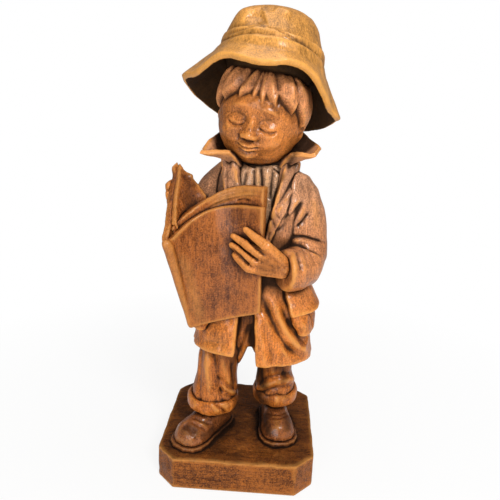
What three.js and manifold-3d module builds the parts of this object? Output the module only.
// Carved wooden figurine of a boy in a floppy hat who reads a broadsheet, standing on a chamfered base.
// Millimetres, +Z up. The origin is the centre of the base's underside.
// The boy faces -Y, and his right hand is at -X.
import * as THREE from "three";
import { mergeVertices } from "three/addons/utils/BufferGeometryUtils.js";
import Module from "manifold-3d";

const wasm = await Module();
wasm.setup();

// Clearance
const GLUE_GAP = 0.3;

// Base board
const BASE = { width: 88, depth: 84, height: 19, chamfer: 10.5 };

// Shoes and feet
const SHOE = {
  length: 42,
  heelWidth: 15,
  ballWidth: 20.5,
  ankleFromHeel: 14,
  soleThickness: 2.6,
  welt: 1,
  upperHeight: 14,
  toeHeight: 10.5,
};
const RIGHT_FOOT = { x: -16, y: -10, turn: -33 };
const LEFT_FOOT = { x: 21, y: 2.5, turn: 8 };
const SOCK = { width: 18, depth: 19, height: 8 };

// Trousers
const ANKLE_HEIGHT = 13;
const CUFF = { height: 8.8, fold: 2.6, roll: 1.6 };
const LEG_LENGTH = 26.1;
const RIGHT_LEG = { width: 24, depth: 24, hipX: -5, hipY: -4 };
const LEFT_LEG = { width: 21, depth: 23, hipX: 16, hipY: -3 };
const SEAT = { width: 42, depth: 31, height: 36 };

// Jacket and shirt
const BODY = { x: 6, y: -2 };
const JACKET = {
  length: 96,
  yoke: 13.5,
  hemWidth: 70,
  hemDepth: 51,
  waistWidth: 54,
  waistDepth: 38,
  chestWidth: 51,
  chestDepth: 35,
  neckWidth: 27,
  neckDepth: 22,
  cloth: 4.5,
  hemRecess: 4,
  hemStep: 5,
};
const SLIT = { x: 3.2, topWidth: 6, hemWidth: 14, height: 46, depth: 12 };
const VEE = { width: 29, height: 49, depth: 12, shirtInset: 1.8 };
const LAPEL = { width: 8.5, thickness: 3.6, raise: 1.2 };
const COLLAR = { thickness: 3, stand: 17, flare: 8.5, tipReach: 12.5, tipDrop: 11.5, root: 14.5, sink: 5 };
const POCKET = {
  angle: -21,
  pouchTuck: 5.5,
  width: 20,
  height: 18,
  bulge: 5.2,
  flapAngle: 25,
  flapTuck: 1.1,
  flapHeight: 13,
  flapThickness: 3.4,
  flapStand: 7,
};

// Arms
const SLEEVE = { shoulder: 12.5, elbow: 12.6, wrist: 11 };
const ARM = { socketDrop: 5, elbowDrop: 36.5 };
const FINGER = { radius: 2.15, tip: 1.6 };
const PALM = { bone: 3.1, knuckle: 2.7, spread: 1.5, wrist: 4.8, lift: 2.2 };

// Broadsheet
const SHEET = {
  spineX: -26,
  spineY: -28,
  drop: 74,
  height: 48.5,
  leanX: -9.7,
  leanY: -12.5,
  leaf: 3.2,
  fold: 2.6,
  pages: 5.5,
  backPages: 2.4,
  pageStep: 8,
};
const FRONT_LEAF = {
  topX: 46.2,
  topY: 11,
  topZ: 18.3,
  footX: 36.5,
  footY: -1,
  footZ: 10.5,
  topSag: 12,
  topRise: 7,
  footSag: 1.2,
};
const BACK_LEAF = { topX: -2.5, topY: 35, topZ: 36, footX: 27, footY: 13, footZ: 30, bow: 1.5 };

// Head
const HEAD = {
  width: 43,
  depth: 46,
  height: 47,
  rise: 21.5,
  x: 6.4,
  y: -5,
  roll: 8,
  nod: 10,
  turn: -4,
  hair: 4,
};
const NECK_RADIUS = 10.5;

// Hat
const HAT = {
  x: 4.6,
  y: 2,
  rise: 32.5,
  roll: 9,
  tip: -11,
  bandWidth: 52.5,
  bandDepth: 53,
  bandHeight: 5.6,
  bandRelief: 0.7,
  crownHeight: 19,
  crownTop: 43,
  lining: 11,
  brim: 3,
};

// Dowels
const DOWEL = { foot: 5, waist: 6, shoulder: 5, wrist: 4, neck: 7, hat: 6 };
const DOWEL_BITE = 12;

// Heights above the top of the base
const CUFF_FOOT = SHOE.soleThickness + ANKLE_HEIGHT;
const CUFF_TOP = CUFF_FOOT + CUFF.height;
const HEM = CUFF_TOP + LEG_LENGTH;
const SHOULDER = HEM + JACKET.length;
const NECK = SHOULDER + JACKET.yoke;
const ELBOW_LOW = SHOULDER - ARM.socketDrop - ARM.elbowDrop - SLEEVE.elbow;
const FLAP_FOOT = ELBOW_LOW + POCKET.flapTuck - POCKET.flapHeight;
const POUCH_FOOT = FLAP_FOOT + POCKET.pouchTuck - POCKET.height;
const SPINE_FOOT = SHOULDER - SHEET.drop;
const HEAD_CENTRE = NECK + HEAD.rise;
const BAND = HEAD_CENTRE + HAT.rise;

// Number of points round a body, and the distance at which two of them become one
const MERGE_DISTANCE = 8e-3;
const ROUND = 24;
const LIMB_ROUND = 16;
const FINGER_ROUND = 7;

const rad = THREE.MathUtils.degToRad;
const clamp = THREE.MathUtils.clamp;
const vec = (x, y, z) => new THREE.Vector3(x, y, z);
const mix = (a, b, t) => a + (b - a) * t;
const ease = (a, b, t) => THREE.MathUtils.smoothstep(t, Math.min(a, b), Math.max(a, b));

// Closed solid of a triangle list.
function solidFrom(points, faces) {
  const geometry = new THREE.BufferGeometry();
  const flat = points.flatMap((p) => [p.x, p.y, p.z]);
  geometry.setAttribute("position", new THREE.Float32BufferAttribute(flat, 3));
  geometry.setIndex(faces.flat());
  return solidOf(geometry);
}

function solidOf(geometry, tolerance = 1e-3) {
  const bare = new THREE.BufferGeometry();
  const source = geometry.index ? geometry.toNonIndexed() : geometry;
  const snap = (v) => Math.round(v / tolerance) * tolerance;
  const corners = Array.from(source.getAttribute("position").array, snap);
  bare.setAttribute("position", new THREE.Float32BufferAttribute(corners, 3));
  const merged = mergeVertices(bare, tolerance / 4);
  const ids = merged.index.array;
  const kept = [];
  for (let i = 0; i < ids.length; i += 3) {
    const [a, b, c] = ids.slice(i, i + 3);
    if (a !== b && b !== c && c !== a) {
      kept.push(a, b, c);
    }
  }
  return new wasm.Manifold(
    new wasm.Mesh({
      numProp: 3,
      vertProperties: new Float32Array(merged.getAttribute("position").array),
      triVerts: new Uint32Array(kept),
    }),
  );
}

// Smooth value at t from 0 to 1 through evenly spaced values.
function spline(values, t) {
  const last = values.length - 1;
  const at = clamp(t, 0, 1) * last;
  const i = Math.min(Math.floor(at), last - 1);
  const f = at - i;
  const pick = (k) => values[clamp(k, 0, last)];
  const [a, b, c, d] = [pick(i - 1), pick(i), pick(i + 1), pick(i + 2)];
  const slopeB = (c - a) / 2;
  const slopeC = (d - b) / 2;
  const cubic = 2 * b - 2 * c + slopeB + slopeC;
  const square = 3 * c - 3 * b - 2 * slopeB - slopeC;
  return ((cubic * f + square) * f + slopeB) * f + b;
}

// Skin over rings of equal point count, closed by a fan at each end.
function loft(rings) {
  const n = rings[0].length;
  const points = rings.flat();
  const faces = [];
  for (let r = 0; r + 1 < rings.length; r++) {
    for (let k = 0; k < n; k++) {
      const next = (k + 1) % n;
      const a = r * n + k;
      const b = r * n + next;
      faces.push([a, b, b + n], [a, b + n, a + n]);
    }
  }
  const middle = (ring) => ring.reduce((sum, p) => sum.add(p), vec(0, 0, 0)).divideScalar(n);
  const foot = points.push(middle(rings[0])) - 1;
  const head = points.push(middle(rings[rings.length - 1])) - 1;
  const top = (rings.length - 1) * n;
  for (let k = 0; k < n; k++) {
    const next = (k + 1) % n;
    faces.push([foot, next, k], [head, top + k, top + next]);
  }
  return solidFrom(points, faces);
}

// Rounded outline: power 2 is an ellipse, a higher power is boxier.
function outline(width, depth, power, count) {
  const bend = (v) => Math.sign(v) * Math.abs(v) ** (2 / power);
  return Array.from({ length: count }, (_, k) => {
    const angle = (2 * Math.PI * k) / count;
    return [(width / 2) * bend(Math.cos(angle)), (depth / 2) * bend(Math.sin(angle))];
  });
}

// Upright body through stations, each with x, y, z, width and depth.
function tower(stations, { grow = 0, steps = 12, power = 2, count = ROUND, shape = null } = {}) {
  const track = (key) => stations.map((s) => s[key]);
  const rings = [];
  for (let i = 0; i <= steps; i++) {
    const t = i / steps;
    const end = i === 0 ? -grow : i === steps ? grow : 0;
    const width = spline(track("width"), t) + 2 * grow;
    const depth = spline(track("depth"), t) + 2 * grow;
    const x = spline(track("x"), t);
    const y = spline(track("y"), t);
    const z = spline(track("z"), t) + end;
    const ring = outline(width, depth, power, count).map(([dx, dy]) => vec(x + dx, y + dy, z));
    rings.push(shape ? ring.map((p) => shape(p, t)) : ring);
  }
  return loft(rings);
}

// Round limb with domed ends along a smooth path.
function limb(path, radii, { grow = 0, steps = 8, count = LIMB_ROUND } = {}) {
  const curve = new THREE.CatmullRomCurve3(path, false, "centripetal");
  const frames = curve.computeFrenetFrames(steps, false);
  const rings = [];
  const add = (centre, radius, i) => {
    const ring = Array.from({ length: count }, (_, k) => {
      const angle = (2 * Math.PI * k) / count;
      const side = frames.normals[i].clone().multiplyScalar(radius * Math.cos(angle));
      const rise = frames.binormals[i].clone().multiplyScalar(radius * Math.sin(angle));
      return centre.clone().add(side).add(rise);
    });
    rings.push(ring);
  };
  for (let i = 0; i <= steps; i++) {
    const t = i / steps;
    const radius = spline(radii, t) + grow;
    const centre = curve.getPoint(t);
    const along = frames.tangents[i];
    const dome = (share) => centre.clone().addScaledVector(along, radius * share);
    if (i === 0) {
      add(dome(-0.92), radius * 0.39, i);
      add(dome(-0.6), radius * 0.8, i);
    }
    add(centre, radius, i);
    if (i === steps) {
      add(dome(0.6), radius * 0.8, i);
      add(dome(0.92), radius * 0.39, i);
    }
  }
  return loft(rings);
}

// Sheet of even thickness over a grid of points; a wrapped grid closes on itself along its rows.
function sheet(grid, thickness, { wrap = false, offset = 0 } = {}) {
  const rows = grid.length;
  const cols = grid[0].length;
  const at = (r, c) => grid[clamp(r, 0, rows - 1)][wrap ? (c + cols) % cols : clamp(c, 0, cols - 1)];
  const normal = (r, c) => {
    const across = at(r, c + 1).clone().sub(at(r, c - 1));
    const along = at(r + 1, c).clone().sub(at(r - 1, c));
    return across.cross(along).normalize();
  };
  const points = [];
  for (const side of [1, -1]) {
    for (let r = 0; r < rows; r++) {
      for (let c = 0; c < cols; c++) {
        points.push(at(r, c).clone().addScaledVector(normal(r, c), offset + (side * thickness) / 2));
      }
    }
  }
  const back = rows * cols;
  const id = (r, c) => r * cols + (c % cols);
  const faces = [];
  const lastCol = wrap ? cols : cols - 1;
  for (let r = 0; r + 1 < rows; r++) {
    for (let c = 0; c < lastCol; c++) {
      const [a, b, d, e] = [id(r, c), id(r, c + 1), id(r + 1, c + 1), id(r + 1, c)];
      faces.push([a, b, d], [a, d, e]);
      faces.push([back + a, back + d, back + b], [back + a, back + e, back + d]);
    }
  }
  const wall = (a, b) => faces.push([a, back + a, back + b], [a, back + b, b]);
  for (let c = 0; c < lastCol; c++) {
    wall(id(0, c), id(0, c + 1));
    wall(id(rows - 1, c + 1), id(rows - 1, c));
  }
  if (!wrap) {
    for (let r = 0; r + 1 < rows; r++) {
      wall(id(r, cols - 1), id(r + 1, cols - 1));
      wall(id(r + 1, 0), id(r, 0));
    }
  }
  return solidFrom(points, faces);
}

// Grid carried on past each edge by the same small distance.
function widen(grid, by, { wrap = false } = {}) {
  if (by === 0) {
    return grid;
  }
  const past = (edge, inner) => edge.clone().addScaledVector(edge.clone().sub(inner).normalize(), by);
  const rows = grid.map((row) => row.map((p) => p.clone()));
  const end = rows.length - 1;
  const columns = rows[0].map((_, c) => c);
  const first = columns.map((c) => past(grid[0][c], grid[1][c]));
  const final = columns.map((c) => past(grid[end][c], grid[end - 1][c]));
  rows[0] = first;
  rows[end] = final;
  if (!wrap) {
    const tail = rows[0].length - 1;
    for (const row of rows) {
      const left = past(row[0], row[1]);
      const right = past(row[tail], row[tail - 1]);
      row[0] = left;
      row[tail] = right;
    }
  }
  return rows;
}

// Prism along Y from a list of [x, z] corners, counterclockwise as seen from -Y.
function prism(corners, front, back) {
  const face = (y) => corners.map(([x, z]) => vec(x, y, z));
  return loft([face(back), face(front)]);
}

function dowel(from, to, diameter, grow) {
  const axis = to.clone().sub(from);
  const length = axis.length() + 2 * grow;
  const geometry = new THREE.CylinderGeometry(diameter / 2 + grow, diameter / 2 + grow, length, 14);
  const turn = new THREE.Quaternion().setFromUnitVectors(vec(0, 1, 0), axis.normalize());
  geometry.applyQuaternion(turn);
  const middle = from.clone().add(to).multiplyScalar(0.5);
  geometry.translate(middle.x, middle.y, middle.z);
  return solidOf(geometry);
}

// Base board
function buildBase(grow) {
  const w = BASE.width / 2 + grow;
  const d = BASE.depth / 2 + grow;
  const c = BASE.chamfer;
  const corners = [
    [w, -d + c],
    [w, d - c],
    [w - c, d],
    [-w + c, d],
    [-w, d - c],
    [-w, -d + c],
    [-w + c, -d],
    [w - c, -d],
  ];
  const ring = (z) => corners.map(([x, y]) => vec(x, y, z));
  return loft([ring(-BASE.height - grow), ring(grow)]);
}

// Shoes: share of the length, share of the width between heel and ball, share of the height
const LAST = [
  [0, 0.34, 0.5],
  [0.05, 0.74, 0.85],
  [0.16, 0.98, 1],
  [0.34, 1, 1],
  [0.52, 0.96, 0.92],
  [0.7, 1, 0.78],
  [0.84, 0.96, 0.74],
  [0.94, 0.74, 0.6],
  [1, 0.3, 0.3],
];

function shoeHalfWidth(share, factor) {
  return (mix(SHOE.heelWidth, SHOE.ballWidth, ease(0.2, 0.75, share)) / 2) * factor;
}

function onFoot(foot, points) {
  const turn = new THREE.Quaternion().setFromAxisAngle(vec(0, 0, 1), rad(foot.turn));
  return points.map((p) => p.applyQuaternion(turn).add(vec(foot.x, foot.y, 0)));
}

function buildSole(foot, grow) {
  const side = (sign) =>
    LAST.map(([share, factor]) => {
      const x = sign * (shoeHalfWidth(share, factor) + SHOE.welt + grow);
      return [x, SHOE.ankleFromHeel - share * SHOE.length];
    });
  const edge = [...side(-1), ...side(1).reverse()];
  const stretch = 1 + (2 * (SHOE.welt + grow)) / SHOE.length;
  const ring = (z) => onFoot(foot, edge.map(([x, y]) => vec(x, y * stretch, z)));
  return loft([ring(-grow), ring(SHOE.soleThickness + grow)]);
}

function buildShoe(foot, grow) {
  const count = 18;
  const rings = LAST.map(([share, factor, lift]) => {
    const half = shoeHalfWidth(share, factor) + grow;
    const tall = mix(SHOE.upperHeight, SHOE.toeHeight * 1.34, ease(0.35, 0.75, share)) * lift;
    const high = tall + SHOE.soleThickness + grow;
    const end = share === 0 ? grow : share === 1 ? -grow : 0;
    const y = SHOE.ankleFromHeel - share * SHOE.length + end;
    const ring = Array.from({ length: count }, (_, k) => {
      const angle = (2 * Math.PI * k) / count;
      const up = Math.max(Math.sin(angle), 0) ** 0.85;
      const bend = Math.sign(Math.cos(angle)) * Math.abs(Math.cos(angle)) ** 0.85;
      return vec(half * bend, y, high * up);
    });
    return onFoot(foot, ring);
  });
  return loft(rings);
}

function buildSock(foot, grow) {
  const z = SHOE.soleThickness + SHOE.upperHeight - SOCK.height / 2;
  const station = (rise) => ({ x: foot.x, y: foot.y, z: z + rise, width: SOCK.width, depth: SOCK.depth });
  return tower([station(0), station(SOCK.height)], { grow, steps: 1, count: 20 });
}

// Trousers
function legStations(foot, leg) {
  const station = (z, hip, swell) => ({
    x: mix(foot.x, leg.hipX, hip),
    y: mix(foot.y, leg.hipY, hip),
    z,
    width: leg.width * swell,
    depth: leg.depth * swell,
  });
  return [
    station(CUFF_FOOT + 1.5, 0, 0.98),
    station(CUFF_TOP, 0.1, 0.99),
    station(mix(CUFF_TOP, HEM, 0.5), 0.2, 0.98),
    station(HEM, 0.35, 1.02),
    station(HEM + 18, 0.85, 1.08),
  ];
}

function buildLeg(foot, leg, grow) {
  return tower(legStations(foot, leg), { grow, steps: 7, power: 2.2, count: 20 });
}

function buildCuff(foot, leg, grow) {
  const station = (z, fold) => ({
    x: foot.x,
    y: foot.y,
    z,
    width: leg.width + 2 * fold,
    depth: leg.depth + 2 * fold,
  });
  const rings = [
    station(CUFF_FOOT, CUFF.fold - CUFF.roll),
    station(CUFF_FOOT + CUFF.roll, CUFF.fold),
    station(CUFF_TOP - CUFF.roll, CUFF.fold + 0.5),
    station(CUFF_TOP, CUFF.fold - CUFF.roll),
  ];
  return tower(rings, { grow, steps: 5, power: 2.2, count: 20 });
}

function buildSeat(grow) {
  const station = (z, swell) => ({
    x: mix(RIGHT_LEG.hipX, LEFT_LEG.hipX, 0.5),
    y: mix(RIGHT_LEG.hipY, LEFT_LEG.hipY, 0.5),
    z,
    width: SEAT.width * swell,
    depth: SEAT.depth * swell,
  });
  const rings = [
    station(HEM - 1, 0.5),
    station(HEM + 6, 0.88),
    station(HEM + 16, 1),
    station(HEM + SEAT.height, 0.92),
  ];
  return tower(rings, { grow, steps: 5, power: 2.3, count: 18 });
}

// Jacket
function jacketStations() {
  const station = (share, width, depth, x, y) => ({
    x: BODY.x + x,
    y: BODY.y + y,
    z: HEM + share * JACKET.length,
    width,
    depth,
  });
  const skirtWidth = mix(JACKET.hemWidth, JACKET.waistWidth, 0.28);
  const skirtDepth = mix(JACKET.hemDepth, JACKET.waistDepth, 0.28);
  const hipWidth = mix(skirtWidth, JACKET.waistWidth, 0.6);
  const hipDepth = mix(skirtDepth, JACKET.waistDepth, 0.6);
  const yokeWidth = mix(JACKET.chestWidth, JACKET.neckWidth, 0.62);
  const yokeDepth = mix(JACKET.chestDepth, JACKET.neckDepth, 0.6);
  const top = JACKET.yoke / JACKET.length;
  return [
    station(0, JACKET.hemWidth, JACKET.hemDepth, 0, -1.5),
    station(0.17, skirtWidth, skirtDepth, 0, -1),
    station(0.34, hipWidth, hipDepth, 0, -0.5),
    station(0.52, JACKET.waistWidth, JACKET.waistDepth, 0, 0),
    station(0.7, JACKET.chestWidth, JACKET.chestDepth, 0.2, 0.5),
    station(0.87, JACKET.chestWidth, JACKET.chestDepth, 0.6, 0.5),
    station(1, JACKET.chestWidth * 0.86, JACKET.chestDepth * 0.86, 0.9, 0.3),
    station(1 + top * 0.55, yokeWidth, yokeDepth, 1, 0),
    station(1 + top, JACKET.neckWidth, JACKET.neckDepth, 1, -0.5),
  ];
}

const JACKET_POWER = 2.35;

function jacketSection(z) {
  const stations = jacketStations();
  const heights = stations.map((s) => s.z);
  let low = 0;
  let high = 1;
  for (let i = 0; i < 30; i++) {
    const middle = (low + high) / 2;
    if (spline(heights, middle) < z) {
      low = middle;
    } else {
      high = middle;
    }
  }
  const read = (key) => spline(stations.map((s) => s[key]), low);
  return { x: read("x"), y: read("y"), width: read("width"), depth: read("depth") };
}

// Depth of the jacket's front at a place across and up it.
function jacketFront(x, z) {
  const s = jacketSection(z);
  const across = clamp(Math.abs((x - s.x) / (s.width / 2)), 0, 0.97);
  return s.y - (s.depth / 2) * (1 - across ** JACKET_POWER) ** (1 / JACKET_POWER);
}

// Point on the jacket's side at an angle round it, with the way it faces.
function jacketSide(angle, z) {
  const s = jacketSection(z);
  const along = vec(Math.cos(rad(angle)), Math.sin(rad(angle)), 0);
  const across = Math.abs(along.x / (s.width / 2)) ** JACKET_POWER;
  const through = Math.abs(along.y / (s.depth / 2)) ** JACKET_POWER;
  return vec(s.x, s.y, z).addScaledVector(along, (across + through) ** (-1 / JACKET_POWER));
}

function slitPrism(grow) {
  const top = HEM + SLIT.height + grow;
  const foot = HEM - 10;
  const wide = SLIT.hemWidth / 2 + grow;
  const narrow = SLIT.topWidth / 2 + grow;
  const corners = [
    [SLIT.x - wide, foot],
    [SLIT.x + wide, foot],
    [SLIT.x + narrow, top],
    [SLIT.x - narrow, top],
  ];
  const back = BODY.y - JACKET.hemDepth / 2 + SLIT.depth + grow;
  return prism(corners, BODY.y - JACKET.hemDepth, back);
}

function veePrism(grow) {
  const top = NECK + 8;
  const foot = NECK - VEE.height - grow;
  const wide = VEE.width / 2 + grow;
  const x = BODY.x + 1;
  const corners = [
    [x - 2.5 - grow, foot],
    [x + 2.5 + grow, foot],
    [x + wide, top],
    [x - wide, top],
  ];
  const back = BODY.y - JACKET.chestDepth / 2 + VEE.depth + grow;
  return prism(corners, BODY.y - JACKET.hemDepth, back);
}

// The right front panel hangs shorter than the left one.
function hemShape(p, t) {
  const lift = JACKET.hemStep * ease(0, 6, SLIT.x - p.x) * (1 - ease(-6, 14, p.y));
  return t === 0 ? p.add(vec(0, 0, lift)) : p;
}

function buildShirt(grow) {
  const body = tower(jacketStations(), { grow: grow - VEE.shirtInset, steps: 14, power: JACKET_POWER });
  return body.intersect(veePrism(grow - GLUE_GAP));
}

function buildJacket(grow) {
  const body = tower(jacketStations(), { grow, steps: 14, power: JACKET_POWER, shape: hemShape });
  const inside = (z, inset) => ({
    x: BODY.x,
    y: BODY.y - 1.5,
    z,
    width: JACKET.hemWidth - 2 * JACKET.cloth - inset,
    depth: JACKET.hemDepth - 2 * JACKET.cloth - inset,
  });
  const recess = tower([inside(HEM - 4, 0), inside(HEM + JACKET.hemRecess - grow, 6)], {
    steps: 2,
    power: JACKET_POWER,
  });
  return body.subtract(recess).subtract(slitPrism(-grow)).subtract(veePrism(-grow));
}

// Lapels lie on the jacket along both sides of the vee.
function buildLapel(side, grow) {
  const rows = [];
  const steps = 6;
  for (let i = 0; i <= steps; i++) {
    const t = i / steps;
    const z = mix(NECK - VEE.height + 1, NECK + 0.5, t);
    const inner = mix(2.6, VEE.width / 2 - 2, t);
    const wide = mix(2.2, LAPEL.width, ease(0, 0.75, t));
    const row = [];
    for (let c = 0; c <= 3; c++) {
      const x = BODY.x + 1 + side * (inner + (wide * c) / 3);
      const tilt = t > 0.8 ? (t - 0.8) * 9 : 0;
      row.push(vec(x, jacketFront(x, Math.min(z, NECK - 3)) - LAPEL.raise - tilt * 0.3, z));
    }
    rows.push(side > 0 ? row : row.reverse());
  }
  return sheet(widen(rows, grow), LAPEL.thickness + 2 * grow);
}

// Collar: stands round the neck, flares outwards and ends in two tips over the shoulders.
function buildCollar(grow) {
  const x = BODY.x + 1.2;
  const y = BODY.y + 1;
  const rows = [[], [], [], []];
  const steps = 18;
  for (let i = 0; i <= steps; i++) {
    const t = i / steps;
    const angle = rad(mix(232, -52, t));
    const fromEnd = Math.min(t, 1 - t);
    const tip = Math.exp(-(((fromEnd - 0.075) / 0.07) ** 2));
    const front = 1 - ease(0, 0.3, fromEnd);
    const low = { r: COLLAR.root + 1.5 * front, z: NECK - COLLAR.sink + 2 * front };
    const flare = COLLAR.flare * (1 - 0.45 * ease(0, 0.07, 0.07 - fromEnd)) + COLLAR.tipReach * tip;
    const high = { r: low.r + flare, z: NECK + COLLAR.stand - COLLAR.tipDrop * front };
    rows.forEach((row, k) => {
      const share = k / (rows.length - 1);
      const r = mix(low.r, high.r, share ** 1.35);
      const z = mix(low.z, high.z, share ** 0.8);
      row.push(vec(x + r * Math.cos(angle), y + r * 0.92 * Math.sin(angle), z));
    });
  }
  return sheet(widen(rows, grow), COLLAR.thickness + 2 * grow);
}

// Pockets: a pleated pouch and its flap, one on each hip.
function pocketBlock(side, grow, { width, height, foot, bulge, taper, lean }) {
  const rings = [];
  const steps = 5;
  for (let i = 0; i <= steps; i++) {
    const t = i / steps;
    const end = i === 0 ? -grow : i === steps ? grow : 0;
    const z = foot + t * height;
    const place = jacketSide(POCKET.angle, z);
    const out = place.clone().sub(vec(BODY.x, BODY.y, z)).normalize();
    const across = vec(-out.y, out.x, 0);
    const puff = bulge * (0.55 + 0.45 * Math.sin(Math.PI * mix(0.12, 0.88, t))) + lean * (0.5 - t);
    const wide = width * mix(taper, 1, ease(0, 0.5, t));
    const ring = outline(wide + 2 * grow, 2 * (puff + grow), 3.2, 20).map(([u, v]) => {
      const p = place.clone().addScaledVector(across, u).addScaledVector(out, v);
      const x = side > 0 ? p.x : 2 * BODY.x - p.x;
      return vec(x, p.y, z + end + (u / width) * 2.5);
    });
    rings.push(side > 0 ? ring.reverse() : ring);
  }
  return loft(rings);
}

function buildPouch(side, grow) {
  const size = {
    width: POCKET.width,
    height: POCKET.height,
    foot: POUCH_FOOT,
    bulge: POCKET.bulge,
    taper: 0.72,
    lean: 0,
  };
  return pocketBlock(side, grow, size);
}

// The flap hangs from the jacket and stands off over the pouch.
function buildFlap(side, grow) {
  const rows = [];
  for (let r = 0; r <= 3; r++) {
    const t = r / 3;
    const z = FLAP_FOOT + t * POCKET.flapHeight;
    const row = [];
    for (let c = 0; c <= 8; c++) {
      const angle = POCKET.angle + mix(-POCKET.flapAngle, POCKET.flapAngle, c / 8);
      const place = jacketSide(angle, z);
      const out = place.clone().sub(vec(BODY.x, BODY.y, z)).normalize();
      const stand = mix(POCKET.flapStand, 0.6, t ** 1.3) * (0.75 + 0.25 * Math.sin((Math.PI * c) / 8));
      place.addScaledVector(out, stand);
      const slope = (0.5 - c / 8) * -2.5;
      row.push(vec(side > 0 ? place.x : 2 * BODY.x - place.x, place.y, z + slope));
    }
    rows.push(side > 0 ? row : row.reverse());
  }
  return sheet(widen(rows, grow), POCKET.flapThickness + 2 * grow);
}

// Arms
const shoulderAt = (side) =>
  vec(BODY.x - 0.5 + side * (JACKET.chestWidth / 2 - 3.5), BODY.y + 1.5, SHOULDER - ARM.socketDrop);
const LEFT_ARM = [
  shoulderAt(1).add(vec(0, -2.5, 0)),
  shoulderAt(1).add(vec(4.5, -1.5, -14)),
  shoulderAt(1).add(vec(6, -3, 6.5 - ARM.elbowDrop)),
  shoulderAt(1).add(vec(2.5, -15.5, -ARM.elbowDrop)),
  shoulderAt(1).add(vec(-4, -26, 1 - ARM.elbowDrop)),
];
const RIGHT_ARM = [
  shoulderAt(-1),
  shoulderAt(-1).add(vec(-4.5, 3, -11)),
  shoulderAt(-1).add(vec(-8, 5, -22)),
  shoulderAt(-1).add(vec(-14.5, 0, -17)),
  shoulderAt(-1).add(vec(-18, -6, -8)),
];

// Ways in which the sleeves' openings face, into the sleeve.
const LEFT_OPENING = vec(0.88, 0.47, -0.05).normalize();
const RIGHT_OPENING = RIGHT_ARM[3].clone().sub(RIGHT_ARM[4]).normalize();

// Sleeve: upper arm and forearm, each a straight limb, meeting in the elbow.
function buildSleeve(arm, radii, opening, grow) {
  const upper = limb(arm.slice(0, 3), radii.slice(0, 3), { grow, steps: 4 });
  const fore = limb(arm.slice(2), radii.slice(2), { grow, steps: 4 });
  return upper.add(fore).trimByPlane(...wristPlane(arm, opening, grow));
}

function buildLeftSleeve(grow) {
  const radii = [SLEEVE.shoulder, SLEEVE.shoulder, SLEEVE.elbow, SLEEVE.elbow - 0.4, SLEEVE.wrist];
  return buildSleeve(LEFT_ARM, radii, LEFT_OPENING, grow);
}

function buildRightSleeve(grow) {
  const radii = [
    SLEEVE.shoulder,
    SLEEVE.shoulder - 0.5,
    SLEEVE.elbow - 2,
    SLEEVE.wrist - 1,
    SLEEVE.wrist - 2,
  ];
  return buildSleeve(RIGHT_ARM, radii, RIGHT_OPENING, grow);
}

// Plane of a sleeve's opening just past the end of its arm, with the arm on its kept side.
function wristPlane(arm, opening, grow) {
  const end = arm[arm.length - 1];
  return [[opening.x, opening.y, opening.z], opening.dot(end) - 2 - grow];
}

// Broadsheet
const spineFoot = vec(SHEET.spineX, SHEET.spineY, SPINE_FOOT);
const spineTop = spineFoot.clone().add(vec(SHEET.leanX, SHEET.leanY, SHEET.height));

// Point of the front leaf's middle surface: u runs from spine to free edge, v from foot to top.
function frontLeaf(u, v) {
  const footRun = vec(FRONT_LEAF.footX, FRONT_LEAF.footY, FRONT_LEAF.footZ);
  const topRun = vec(FRONT_LEAF.topX, FRONT_LEAF.topY, FRONT_LEAF.topZ);
  const foot = spineFoot.clone().addScaledVector(footRun, u);
  const top = spineTop.clone().addScaledVector(topRun, u);
  const bend = Math.sin(Math.PI * Math.max(u, 0) ** 0.8);
  foot.add(vec(0, FRONT_LEAF.footSag * bend, 0));
  top.add(vec(-1.5 * bend, FRONT_LEAF.topSag * bend, FRONT_LEAF.topRise * bend));
  return foot.lerp(top, v);
}

function backLeaf(u, v) {
  const foot = spineFoot.clone().addScaledVector(vec(BACK_LEAF.footX, BACK_LEAF.footY, BACK_LEAF.footZ), u);
  const top = spineTop.clone().addScaledVector(vec(BACK_LEAF.topX, BACK_LEAF.topY, BACK_LEAF.topZ), u);
  const bend = Math.sin(Math.PI * u);
  return foot.lerp(top, v).add(vec(-BACK_LEAF.bow * bend, 0, 0));
}

function leafGrid(surface, from, to, rows, cols) {
  const grid = [];
  for (let r = 0; r <= rows; r++) {
    const row = [];
    for (let c = 0; c <= cols; c++) {
      row.push(surface(mix(from, to, c / cols), r / rows));
    }
    grid.push(row);
  }
  return grid;
}

// The front leaf carries the rounded fold along the spine.
function buildFrontLeaf(grow) {
  const grid = leafGrid(frontLeaf, -0.02, 1, 4, 12);
  const ends = [0.03, 0.965].map((v) => frontLeaf(0, v));
  const fold = limb(ends, [SHEET.leaf / 2, SHEET.fold], { grow, steps: 4, count: 10 });
  return sheet(widen(grid, grow), SHEET.leaf + 2 * grow).add(fold);
}

function buildBackLeaf(grow) {
  const grid = leafGrid(backLeaf, -0.03, 1, 4, 8);
  return sheet(widen(grid, grow), SHEET.leaf + 2 * grow);
}

// Inner pages lie behind a leaf; those of the front leaf step up above its top edge.
function buildFrontPages(grow) {
  const step = (u) => (SHEET.pageStep / SHEET.height) * mix(0.3, 1, ease(0.15, 0.8, u));
  const surface = (u, v) => frontLeaf(u, v * (1 + step(u)));
  const grid = leafGrid(surface, 0.06, 0.97, 4, 10);
  const offset = -(SHEET.leaf + SHEET.pages) / 2 - GLUE_GAP * 1.2;
  return sheet(widen(grid, grow), SHEET.pages + 2 * grow, { offset });
}

function buildBackPages(grow) {
  const grid = leafGrid(backLeaf, 0.22, 0.95, 4, 6);
  const offset = (SHEET.leaf + SHEET.backPages) / 2 + GLUE_GAP * 1.2;
  return sheet(widen(grid, grow), SHEET.backPages + 2 * grow, { offset });
}

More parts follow.
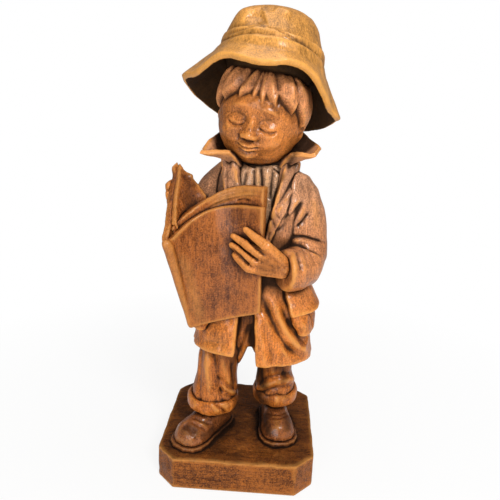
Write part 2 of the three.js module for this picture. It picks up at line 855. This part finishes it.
// Hands: palm and four fingers on the outer face of a leaf, thumb on its other side.
const LEFT_FINGERS = [
  { knuckle: [1.05, 0.69], tip: [0.82, 0.815] },
  { knuckle: [0.985, 0.615], tip: [0.68, 0.757] },
  { knuckle: [0.91, 0.55], tip: [0.66, 0.68] },
  { knuckle: [0.84, 0.49], tip: [0.69, 0.59] },
];
const RIGHT_FINGERS = [
  { knuckle: [0.86, 0.92], tip: [0.6, 0.9] },
  { knuckle: [0.86, 0.81], tip: [0.48, 0.8] },
  { knuckle: [0.86, 0.7], tip: [0.46, 0.69] },
  { knuckle: [0.84, 0.6], tip: [0.5, 0.58] },
];

const LEFT_HEEL = vec(-1.5, -4, PALM.lift);

// Four fingers that fan out from the wrist over a leaf's outer face.
function fingers(leaf, list, outward, spread, grow) {
  const off = SHEET.leaf / 2 + FINGER.radius * 0.75;
  const place = (uv, lift) => leaf(uv[0], uv[1]).addScaledVector(outward, off + lift);
  const radii = [PALM.bone, PALM.knuckle, FINGER.radius, FINGER.tip];
  return list.map(({ knuckle, tip }, k) => {
    const bend = [mix(knuckle[0], tip[0], 0.55), mix(knuckle[1], tip[1], 0.55)];
    const path = [spread(1.5 - k), place(knuckle, 1.6), place(bend, 1), place(tip, 0)];
    return limb(path, radii, { grow, steps: 6, count: FINGER_ROUND });
  });
}

function buildLeftHand(grow) {
  const wrist = LEFT_ARM[LEFT_ARM.length - 1];
  const heel = wrist.clone().add(LEFT_HEEL);
  const spread = (k) => heel.clone().addScaledVector(vec(0.3, 0.1, 0.95), k * PALM.spread);
  const parts = fingers(frontLeaf, LEFT_FINGERS, vec(-0.1, -0.95, -0.25), spread, grow);
  const stump = [wrist.clone().add(vec(5, 5, 0)), heel];
  parts.push(limb(stump, [PALM.wrist, PALM.wrist - 1], { grow, steps: 2, count: 12 }));
  return wasm.Manifold.union(parts);
}

function buildRightHand(grow) {
  const wrist = RIGHT_ARM[RIGHT_ARM.length - 1];
  const heel = wrist.clone().add(vec(-1, -1, 2));
  const spread = (k) => heel.clone().addScaledVector(vec(0, 0.3, 0.95), k * PALM.spread);
  const parts = fingers(backLeaf, RIGHT_FINGERS, vec(-1, 0, 0), spread, grow);
  const stump = [wrist.clone().add(vec(3, 5, -5)), heel];
  parts.push(limb(stump, [PALM.wrist, PALM.wrist - 1], { grow, steps: 2, count: 12 }));
  return wasm.Manifold.union(parts);
}

// Head
const headTurn = new THREE.Quaternion().setFromEuler(
  new THREE.Euler(rad(HEAD.nod), rad(HEAD.roll), rad(HEAD.turn), "ZYX"),
);
const headCentre = vec(HEAD.x, HEAD.y, HEAD_CENTRE);

// Soft swelling of the head round a direction.
function swell(toward, centre, wide, tall) {
  const c = vec(...centre).normalize();
  const dx = (toward.x - c.x) / wide;
  const dz = (toward.z - c.z) / tall;
  const facing = toward.dot(c) > 0 ? 1 : 0;
  return facing * Math.exp(-(dx * dx + dz * dz));
}

function headRadius(d) {
  const front = ease(-0.2, 0.6, -d.y);
  const jaw = ease(0.05, 1, -d.z);
  const sx = (HEAD.width / 2) * (1 - 0.1 * jaw ** 1.5);
  const sy = (HEAD.depth / 2) * (1 - 0.06 * front);
  const sz = HEAD.height / 2;
  let r = 1 / Math.sqrt((d.x / sx) ** 2 + (d.y / sy) ** 2 + (d.z / sz) ** 2);
  for (const side of [-1, 1]) {
    r += 1.5 * swell(d, [side * 0.5, -0.8, -0.3], 0.26, 0.24);
    r -= 1.3 * swell(d, [side * 0.36, -0.92, 0.1], 0.17, 0.12);
  }
  r += 1.2 * swell(d, [0, -0.95, 0.36], 0.4, 0.2);
  r += 3.6 * swell(d, [0, -1, -0.12], 0.1, 0.1);
  r += 1.6 * swell(d, [0, -1, 0.02], 0.08, 0.16);
  r += 1.6 * swell(d, [0, -0.9, -0.46], 0.2, 0.12);
  r += 1.8 * swell(d, [0, -0.72, -0.72], 0.2, 0.12);
  const face = (d.x / 0.8) ** 2 + ((d.z + 0.28) / 0.72) ** 2;
  const hair = ease(0.75, 1.15, d.y > 0 ? 2 : face) * ease(-0.5, 0.15, d.z);
  return r + HEAD.hair * hair;
}

function headPoint(longitude, latitude, grow) {
  const d = vec(
    Math.cos(latitude) * Math.sin(longitude),
    -Math.cos(latitude) * Math.cos(longitude),
    Math.sin(latitude),
  );
  return d.clone().multiplyScalar(headRadius(d) + grow).applyQuaternion(headTurn).add(headCentre);
}

function buildHead(grow) {
  const around = 36;
  const up = 20;
  const rings = [];
  for (let r = 1; r < up; r++) {
    const latitude = rad(mix(-90, 90, r / up));
    const point = (_, k) => headPoint((2 * Math.PI * k) / around, latitude, grow);
    rings.push(Array.from({ length: around }, point));
  }
  const skull = loft(rings);
  const throat = headCentre.clone().add(vec(0, 3, -HEAD.height * 0.28));
  const collarbone = vec(BODY.x + 1, BODY.y, NECK - 6);
  return skull.add(limb([collarbone, throat], [NECK_RADIUS, NECK_RADIUS], { grow, steps: 2, count: 20 }));
}

// Hat
const hatTurn = new THREE.Quaternion().setFromEuler(new THREE.Euler(rad(HAT.tip), rad(HAT.roll), 0, "ZYX"));
const hatCentre = vec(HEAD.x + HAT.x, HEAD.y + HAT.y, BAND);
const onHat = (p) => p.applyQuaternion(hatTurn).add(hatCentre);

function buildCrown(grow) {
  const wide = HAT.bandWidth - 2 * HAT.bandRelief;
  const deep = HAT.bandDepth - 2 * HAT.bandRelief;
  const share = HAT.crownTop / HAT.bandWidth;
  const profile = [
    [-HAT.bandHeight / 2 - HAT.lining, 0.8],
    [-HAT.bandHeight / 2, 0.97],
    [HAT.bandHeight / 2, 0.985],
    [HAT.crownHeight * 0.4, mix(1, share, 0.55)],
    [HAT.crownHeight * 0.66, share],
    [HAT.crownHeight * 0.86, share * 0.84],
    [HAT.crownHeight * 0.98, share * 0.6],
    [HAT.crownHeight * 1.07, share * 0.26],
  ];
  const rings = profile.map(([z, scale], i) => {
    const end = i === 0 ? -grow : i === profile.length - 1 ? grow : 0;
    return outline(wide * scale + 2 * grow, deep * scale + 2 * grow, 2.1, 36).map(([x, y]) => {
      const dent = ease(0.5, 1, z / HAT.crownHeight) * (0.8 * Math.cos((x + 8) / 6) + 0.11 * x);
      return onHat(vec(x, y, z + end + dent));
    });
  });
  return loft(rings);
}

function buildBand(grow) {
  const ring = (z, relief) => {
    const spread = 2 * (relief + grow);
    const edge = outline(HAT.bandWidth + spread, HAT.bandDepth + spread, 2.1, 36);
    return edge.map(([x, y]) => onHat(vec(x, y, z)));
  };
  const half = HAT.bandHeight / 2;
  const lower = [ring(-half - grow, 0.2), ring(-half * 0.5, 0.5)];
  const upper = [ring(half * 0.5, 0.2), ring(half + grow, -0.5)];
  return loft([...lower, ...upper]);
}

// Brim edge round the hat: angle from the boy's left, distance from the middle and drop below the band
const BRIM_EDGE = [
  [6, 39.6, 21.5],
  [15, 42.5, 18.5],
  [36, 44, 22],
  [50, 44, 24],
  [85, 43, 26],
  [121, 43, 25],
  [149, 43, 20.5],
  [166, 43.5, 17],
  [179, 43, 16],
  [201, 37, 17],
  [216, 36, 14],
  [228, 36, 10.5],
  [238, 35.5, 9.6],
  [250, 35, 10.7],
  [262, 35, 11.9],
  [273, 35, 10.9],
  [285, 34.5, 8.5],
  [296, 34, 8],
  [310, 33, 10],
  [329, 32.5, 15],
  [348, 33.5, 19.5],
];

function brimEdge(angle) {
  const list = BRIM_EDGE;
  const turn = ((angle % 360) + 360) % 360;
  let i = list.length - 1;
  while (i > 0 && list[i][0] > turn) {
    i--;
  }
  i = turn < list[0][0] ? list.length - 1 : i;
  const here = list[i];
  const next = list[(i + 1) % list.length];
  const span = (next[0] - here[0] + 360) % 360;
  const share = ((turn - here[0] + 360) % 360) / span;
  const t = mix(share, ease(0, 1, share), 0.5);
  return [mix(here[1], next[1], t), mix(here[2], next[2], t)];
}

function buildBrim(grow) {
  const count = 42;
  const rows = [0, 0.3, 0.65, 1].map((share) =>
    Array.from({ length: count }, (_, k) => {
      const angle = (360 * k) / count;
      const [reach, drop] = brimEdge(angle);
      const inner = HAT.bandWidth / 2 - HAT.brim / 2;
      const r = mix(inner, reach, share ** 0.92);
      const z = -HAT.bandHeight / 2 - HAT.brim / 2 - GLUE_GAP - drop * share ** 1.15;
      return onHat(vec(r * Math.cos(rad(angle)), r * Math.sin(rad(angle)), z));
    }),
  );
  const outer = rows.reverse();
  return sheet(widen(outer, grow, { wrap: true }), HAT.brim + 2 * grow, { wrap: true });
}

// Dowels
function footDowel(foot, grow) {
  const low = vec(foot.x, foot.y, -DOWEL_BITE);
  const high = vec(foot.x, foot.y, CUFF_FOOT + DOWEL_BITE);
  return dowel(low, high, DOWEL.foot, grow);
}

function armDowel(side, grow) {
  const at = shoulderAt(side);
  const inner = at.clone().add(vec(-side * DOWEL_BITE, 0, -3));
  const outer = at.clone().add(vec(side * 5, 0, -3));
  return dowel(inner, outer, DOWEL.shoulder, grow);
}

function wristDowel(arm, reach, grow) {
  const end = arm[arm.length - 1];
  const along = end.clone().sub(arm[arm.length - 2]).normalize();
  const inSleeve = end.clone().addScaledVector(along, -10);
  const inHand = end.clone().add(reach ?? along.multiplyScalar(6));
  return dowel(inSleeve, inHand, DOWEL.wrist, grow);
}

function waistDowel(grow) {
  const x = mix(RIGHT_LEG.hipX, LEFT_LEG.hipX, 0.5);
  const y = mix(RIGHT_LEG.hipY, LEFT_LEG.hipY, 0.5);
  const top = HEM + SEAT.height;
  return dowel(vec(x, y, top - DOWEL_BITE), vec(x, y, top + DOWEL_BITE), DOWEL.waist, grow);
}

function neckDowel(grow) {
  const x = BODY.x + 1;
  const y = BODY.y + 1;
  return dowel(vec(x, y, NECK - DOWEL_BITE - 4), vec(x, y, NECK + DOWEL_BITE), DOWEL.neck, grow);
}

function hatDowel(grow) {
  const at = (z) => onHat(vec(-2, 2, z));
  return dowel(at(-DOWEL_BITE), at(HAT.crownHeight * 0.6), DOWEL.hat, grow);
}

// Finishes: colour, roughness
const FINISH = {
  dowel: ["#b98d57", 0.75],
  base: ["#5a3a20", 0.55],
  shoe: ["#6b4528", 0.45],
  sock: ["#7a5230", 0.5],
  trousers: ["#8f5a2c", 0.5],
  jacket: ["#96602f", 0.48],
  shirt: ["#9a6c40", 0.5],
  skin: ["#9c6435", 0.42],
  paper: ["#8a5228", 0.5],
  hat: ["#a8702f", 0.45],
};

// Pieces in the order in which they take their room; each later piece is cut clear of the ones before it
const PIECES = [
  ["right_foot_dowel", "dowel", (g) => footDowel(RIGHT_FOOT, g)],
  ["left_foot_dowel", "dowel", (g) => footDowel(LEFT_FOOT, g)],
  ["waist_dowel", "dowel", waistDowel],
  ["right_shoulder_dowel", "dowel", (g) => armDowel(-1, g)],
  ["left_shoulder_dowel", "dowel", (g) => armDowel(1, g)],
  ["right_wrist_dowel", "dowel", (g) => wristDowel(RIGHT_ARM, null, g)],
  ["left_wrist_dowel", "dowel", (g) => wristDowel(LEFT_ARM, LEFT_HEEL, g)],
  ["neck_dowel", "dowel", neckDowel],
  ["hat_dowel", "dowel", hatDowel],
  ["base_board", "base", buildBase],
  ["right_sole", "shoe", (g) => buildSole(RIGHT_FOOT, g)],
  ["left_sole", "shoe", (g) => buildSole(LEFT_FOOT, g)],
  ["right_shoe", "shoe", (g) => buildShoe(RIGHT_FOOT, g)],
  ["left_shoe", "shoe", (g) => buildShoe(LEFT_FOOT, g)],
  ["right_sock", "sock", (g) => buildSock(RIGHT_FOOT, g)],
  ["left_sock", "sock", (g) => buildSock(LEFT_FOOT, g)],
  ["trouser_seat", "trousers", buildSeat],
  ["right_trouser_leg", "trousers", (g) => buildLeg(RIGHT_FOOT, RIGHT_LEG, g)],
  ["left_trouser_leg", "trousers", (g) => buildLeg(LEFT_FOOT, LEFT_LEG, g)],
  ["right_trouser_cuff", "trousers", (g) => buildCuff(RIGHT_FOOT, RIGHT_LEG, g)],
  ["left_trouser_cuff", "trousers", (g) => buildCuff(LEFT_FOOT, LEFT_LEG, g)],
  ["shirt_front", "shirt", buildShirt],
  ["jacket", "jacket", buildJacket],
  ["right_lapel", "jacket", (g) => buildLapel(-1, g)],
  ["left_lapel", "jacket", (g) => buildLapel(1, g)],
  ["head", "skin", buildHead],
  ["collar", "jacket", buildCollar],
  ["sheet_front_leaf", "paper", buildFrontLeaf],
  ["sheet_back_leaf", "paper", buildBackLeaf],
  ["sheet_front_pages", "paper", buildFrontPages],
  ["sheet_back_pages", "paper", buildBackPages],
  ["right_sleeve", "jacket", buildRightSleeve],
  ["left_sleeve", "jacket", buildLeftSleeve],
  ["right_hand", "skin", buildRightHand],
  ["left_hand", "skin", buildLeftHand],
  ["right_pocket_pouch", "jacket", (g) => buildPouch(-1, g)],
  ["left_pocket_pouch", "jacket", (g) => buildPouch(1, g)],
  ["right_pocket_flap", "jacket", (g) => buildFlap(-1, g)],
  ["left_pocket_flap", "jacket", (g) => buildFlap(1, g)],
  ["hat_crown", "hat", buildCrown],
  ["hat_band", "hat", buildBand],
  ["hat_brim", "hat", buildBrim],
];

function boxesMeet(a, b) {
  return [0, 1, 2].every((k) => a.min[k] < b.max[k] && b.min[k] < a.max[k]);
}

// Main body of a cut solid, without the loose chips that a cut can leave.
function mainBody(solid) {
  const larger = (best, body) => (body.volume() > best.volume() ? body : best);
  const largest = (whole) => whole.decompose().reduce(larger);
  const settled = solidOf(geometryOf(largest(solid)), MERGE_DISTANCE);
  return largest(settled);
}

function geometryOf(solid) {
  const made = solid.getMesh();
  const geometry = new THREE.BufferGeometry();
  const corners = new Float32Array(made.numVert * 3);
  for (let i = 0; i < made.numVert; i++) {
    corners.set(made.vertProperties.subarray(i * made.numProp, i * made.numProp + 3), i * 3);
  }
  geometry.setAttribute("position", new THREE.BufferAttribute(corners, 3));
  geometry.setIndex(new THREE.BufferAttribute(made.triVerts, 1));
  return geometry;
}

function meshOf(name, finish, solid) {
  const geometry = geometryOf(solid);
  const [color, roughness] = FINISH[finish];
  const mesh = new THREE.Mesh(geometry, new THREE.MeshStandardMaterial({ color, roughness, metalness: 0 }));
  mesh.name = name;
  return mesh;
}

function assemble() {
  const figure = new THREE.Group();
  figure.name = "carved_boy";
  figure.position.z = BASE.height;
  const fences = [];
  for (const [name, finish, build] of PIECES) {
    let solid = build(0);
    for (const fence of fences) {
      if (boxesMeet(solid.boundingBox(), fence.boundingBox())) {
        solid = solid.subtract(fence);
      }
    }
    figure.add(meshOf(name, finish, mainBody(solid)));
    fences.push(build(GLUE_GAP));
  }
  const whole = new THREE.Group();
  whole.add(figure);
  return whole;
}

export default assemble();
